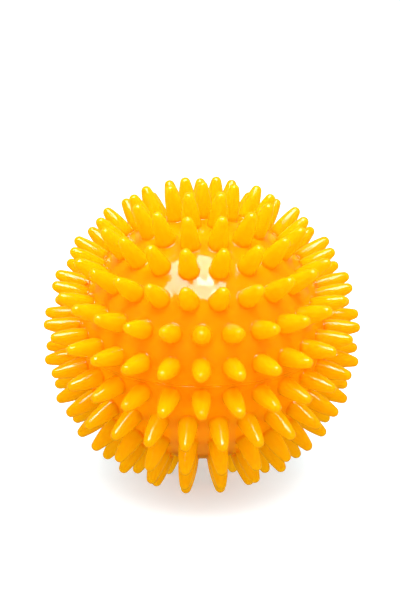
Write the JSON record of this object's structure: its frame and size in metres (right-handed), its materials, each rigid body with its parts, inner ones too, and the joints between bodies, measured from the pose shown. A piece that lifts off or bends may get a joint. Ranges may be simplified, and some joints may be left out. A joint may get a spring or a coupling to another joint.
{
  "type": "spiky massage ball",
  "caption": "Hollow air-filled massage ball in soft translucent PVC, covered in blunt spikes, with a bonded seam round the middle and a plug valve in the lower pole.",
  "frame": {"origin": "centre of the ball", "axes": "+Z along the pole axis, up through the pole spike and away from the valve; -Y towards the front, where a spike of each of the two middle rings stands"},
  "size_m": [0.0894, 0.0891, 0.0889],
  "materials": {
    "soft_pvc": "glossy, slightly translucent amber-yellow",
    "valve_pvc": "satin, milky natural"
  },
  "bodies": {
    "ball": {"upper_shell": "soft_pvc", "lower_shell": "soft_pvc", "valve_sleeve": "valve_pvc"},
    "plug": {"valve_plug": "valve_pvc"}
  },
  "joints": [
    {"name": "plug_pull", "type": "slide", "parent": "ball", "child": "plug", "axis": [0, 0, -1], "range_m": [0, 0.02]}
  ]
}
